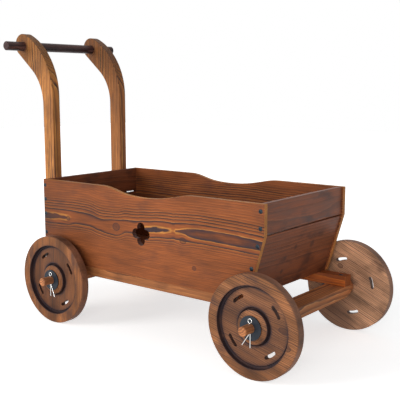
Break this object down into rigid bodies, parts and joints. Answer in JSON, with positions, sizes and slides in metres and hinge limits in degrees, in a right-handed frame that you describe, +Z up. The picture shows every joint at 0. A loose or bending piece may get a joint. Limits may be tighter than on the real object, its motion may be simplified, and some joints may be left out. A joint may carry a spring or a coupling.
{
  "type": "flower cart stand",
  "caption": "Four-wheeled wooden cart planter stand: open slant-fronted box with dipped sides and lobed cut-outs, turned disc wheels and a hooked two-post push handle.",
  "frame": {"origin": "on the ground under the middle of the overall length and width", "axes": "+X to the cart's front, +Y to its far side, +Z up"},
  "size_m": [0.7614, 0.4068, 0.5942],
  "materials": {
    "panel_wood": "charred and oiled",
    "board_wood": "charred dark",
    "floor_wood": "charred and oiled",
    "rail_wood": "charred and oiled",
    "beam_wood": "charred and oiled",
    "post_wood": "lightly charred",
    "bar_wood": "dark stain, satin",
    "wheel_wood": "charred and oiled",
    "washer_steel": "blackened steel",
    "pin_steel": "zinc plated",
    "screw_steel": "blackened steel"
  },
  "bodies": {
    "cart": {"side_panel_near": "panel_wood", "side_panel_far": "panel_wood", "front_board_upper": "board_wood", "front_board_lower": "board_wood", "rear_board_upper": "board_wood", "rear_board_lower": "board_wood", "floor_board_1": "floor_wood", "floor_board_2": "floor_wood", "floor_board_3": "floor_wood", "floor_board_4": "floor_wood", "floor_board_5": "floor_wood", "rail_near": "rail_wood", "rail_far": "rail_wood", "axle_beam_front": "beam_wood", "axle_beam_rear": "beam_wood", "handle_post_near": "post_wood", "handle_post_far": "post_wood", "handle_bar": "bar_wood", "washer_near_front": "washer_steel", "split_pin_near_front": "pin_steel", "washer_near_rear": "washer_steel", "split_pin_near_rear": "pin_steel", "washer_far_front": "washer_steel", "split_pin_far_front": "pin_steel", "washer_far_rear": "washer_steel", "split_pin_far_rear": "pin_steel", "panel_screws_near": "screw_steel", "panel_screws_far": "screw_steel", "post_screws": "screw_steel", "rail_screws": "screw_steel", "floor_screws": "screw_steel", "hook_screws": "screw_steel"},
    "wheel_near_front": {"wheel_near_front": "wheel_wood"},
    "wheel_near_rear": {"wheel_near_rear": "wheel_wood"},
    "wheel_far_front": {"wheel_far_front": "wheel_wood"},
    "wheel_far_rear": {"wheel_far_rear": "wheel_wood"}
  },
  "joints": [
    {"name": "wheel_near_front_turn", "type": "hinge", "parent": "cart", "child": "wheel_near_front", "pos_m": [0.29072, -0.1675, 0.09], "axis": [0, 1, 0], "continuous": true},
    {"name": "wheel_near_rear_turn", "type": "hinge", "parent": "cart", "child": "wheel_near_rear", "pos_m": [-0.20428, -0.1675, 0.09], "axis": [0, 1, 0], "continuous": true},
    {"name": "wheel_far_front_turn", "type": "hinge", "parent": "cart", "child": "wheel_far_front", "pos_m": [0.29072, 0.1675, 0.09], "axis": [0, 1, 0], "continuous": true},
    {"name": "wheel_far_rear_turn", "type": "hinge", "parent": "cart", "child": "wheel_far_rear", "pos_m": [-0.20428, 0.1675, 0.09], "axis": [0, 1, 0], "continuous": true}
  ]
}
